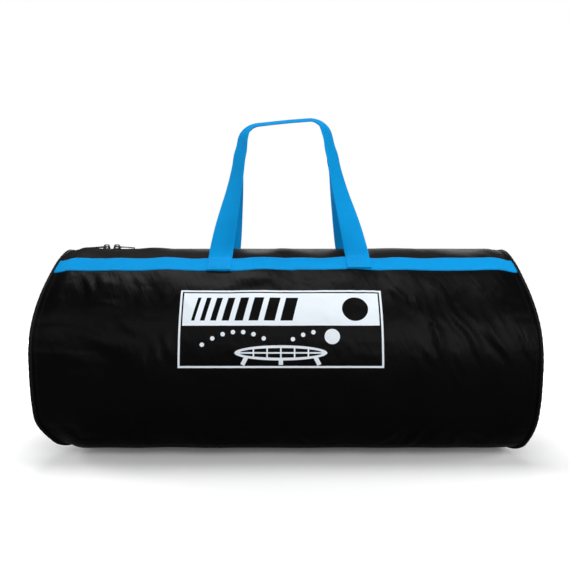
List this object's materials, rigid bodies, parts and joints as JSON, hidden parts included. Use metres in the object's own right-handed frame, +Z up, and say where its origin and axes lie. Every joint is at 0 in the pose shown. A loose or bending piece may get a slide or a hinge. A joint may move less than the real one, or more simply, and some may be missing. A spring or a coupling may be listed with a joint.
{
  "type": "roundnet set",
  "caption": "Round duffel with webbing handles and a zip top, packed with a roundnet game: rim arcs, legs, rolled net, balls and a hand pump.",
  "frame": {"origin": "on the floor, under the middle of the bag's length and width", "axes": "+X along the bag, to the right seen from the printed front; +Y to the rear; +Z up"},
  "size_m": [0.616, 0.2803, 0.4463],
  "materials": {
    "body_nylon": "matt black nylon, plain weave",
    "top_nylon": "washed black nylon, slightly brown where it catches the light",
    "webbing": "sky-blue woven webbing",
    "thread": "blue sewing thread",
    "piping": "black binding over a cord",
    "print_ink": "thin white printed film, semi-matt",
    "zip_tape": "black knitted zip tape",
    "zip_coil": "black nylon coil",
    "zip_metal": "black enamelled zinc, worn at the edges",
    "tube_plastic": "black moulded plastic",
    "socket_plastic": "blue moulded plastic",
    "foot_rubber": "black rubber",
    "net_cord": "white knotted cord",
    "ball_rubber": "yellow pimpled rubber",
    "pump_plastic": "blue gloss plastic",
    "needle_steel": "bright steel"
  },
  "bodies": {
    "bag": {"body_panel": "body_nylon", "end_panel_left": "body_nylon", "end_panel_right": "body_nylon", "piping_left": "piping", "piping_right": "piping", "band_front": "webbing", "band_rear": "webbing", "handle_feet_front": "webbing", "handle_feet_rear": "webbing", "handle_stitching": "thread", "zip_end_stops": "zip_metal", "zip_end_tabs": "piping", "print_panel": "print_ink", "rim_arc_1": "tube_plastic", "rim_arc_2": "tube_plastic", "rim_arc_3": "tube_plastic", "rim_arc_4": "tube_plastic", "rim_arc_5": "tube_plastic", "leg_socket_1": "socket_plastic", "leg_socket_2": "socket_plastic", "leg_socket_3": "socket_plastic", "leg_socket_4": "socket_plastic", "leg_socket_5": "socket_plastic", "leg_tube_1": "tube_plastic", "leg_tube_2": "tube_plastic", "leg_tube_3": "tube_plastic", "leg_tube_4": "tube_plastic", "leg_tube_5": "tube_plastic", "leg_feet": "foot_rubber", "net_roll": "net_cord", "net_straps": "webbing", "ball_1": "ball_rubber", "ball_2": "ball_rubber", "ball_3": "ball_rubber", "ball_valves": "foot_rubber", "pump_barrel": "pump_plastic", "pump_cap": "tube_plastic", "pump_needle": "needle_steel"},
    "front_handle": {"handle_front": "webbing"},
    "rear_handle": {"handle_rear": "webbing"},
    "front_lip": {"top_panel_front": "top_nylon", "zip_tape_front": "zip_tape", "zip_chain_front": "zip_coil"},
    "rear_lip": {"top_panel_rear": "top_nylon", "zip_tape_rear": "zip_tape", "zip_chain_rear": "zip_coil"},
    "left_slider": {"zip_slider_left": "zip_metal"},
    "right_slider": {"zip_slider_right": "zip_metal"},
    "left_puller": {"zip_puller_left": "zip_metal"},
    "right_puller": {"zip_puller_right": "zip_metal"},
    "plunger": {"pump_plunger": "tube_plastic"}
  },
  "joints": [
    {"name": "handle_front_fold", "type": "hinge", "parent": "bag", "child": "front_handle", "pos_m": [0, -0.06335, 0.25332], "axis": [1, 0, 0], "range_deg": [0, 125]},
    {"name": "handle_rear_fold", "type": "hinge", "parent": "bag", "child": "rear_handle", "pos_m": [0, 0.06335, 0.25332], "axis": [-1, 0, 0], "range_deg": [0, 125]},
    {"name": "slider_right_slide", "type": "slide", "parent": "bag", "child": "right_slider", "axis": [1, 0, 0], "range_m": [0, 0.493]},
    {"name": "slider_left_slide", "type": "slide", "parent": "bag", "child": "left_slider", "axis": [-1, 0, 0], "range_m": [0, 0.0155]},
    {"name": "lip_front_open", "type": "hinge", "parent": "bag", "child": "front_lip", "pos_m": [0, -0.06203, 0.24951], "axis": [1, 0, 0], "range_deg": [0, 55], "deforming": ["top_panel_front", "zip_tape_front", "zip_chain_front"]},
    {"name": "lip_rear_open", "type": "hinge", "parent": "bag", "child": "rear_lip", "pos_m": [0, 0.06203, 0.24951], "axis": [-1, 0, 0], "range_deg": [0, 55], "deforming": ["top_panel_rear", "zip_tape_rear", "zip_chain_rear"]},
    {"name": "puller_right_swing", "type": "hinge", "parent": "right_slider", "child": "right_puller", "pos_m": [-0.232, 0, 0.26717], "axis": [0, -1, 0], "range_deg": [0, 100]},
    {"name": "puller_left_swing", "type": "hinge", "parent": "left_slider", "child": "left_puller", "pos_m": [-0.246, 0, 0.26717], "axis": [0, 1, 0], "range_deg": [0, 100]},
    {"name": "pump_stroke", "type": "slide", "parent": "bag", "child": "plunger", "axis": [1, 0, 0], "range_m": [0, 0.105]}
  ],
  "couplings": [
    {"joint": "lip_front_open", "follows": "slider_right_slide", "rad_per_m": 1.94},
    {"joint": "lip_rear_open", "follows": "slider_right_slide", "rad_per_m": 1.94}
  ]
}
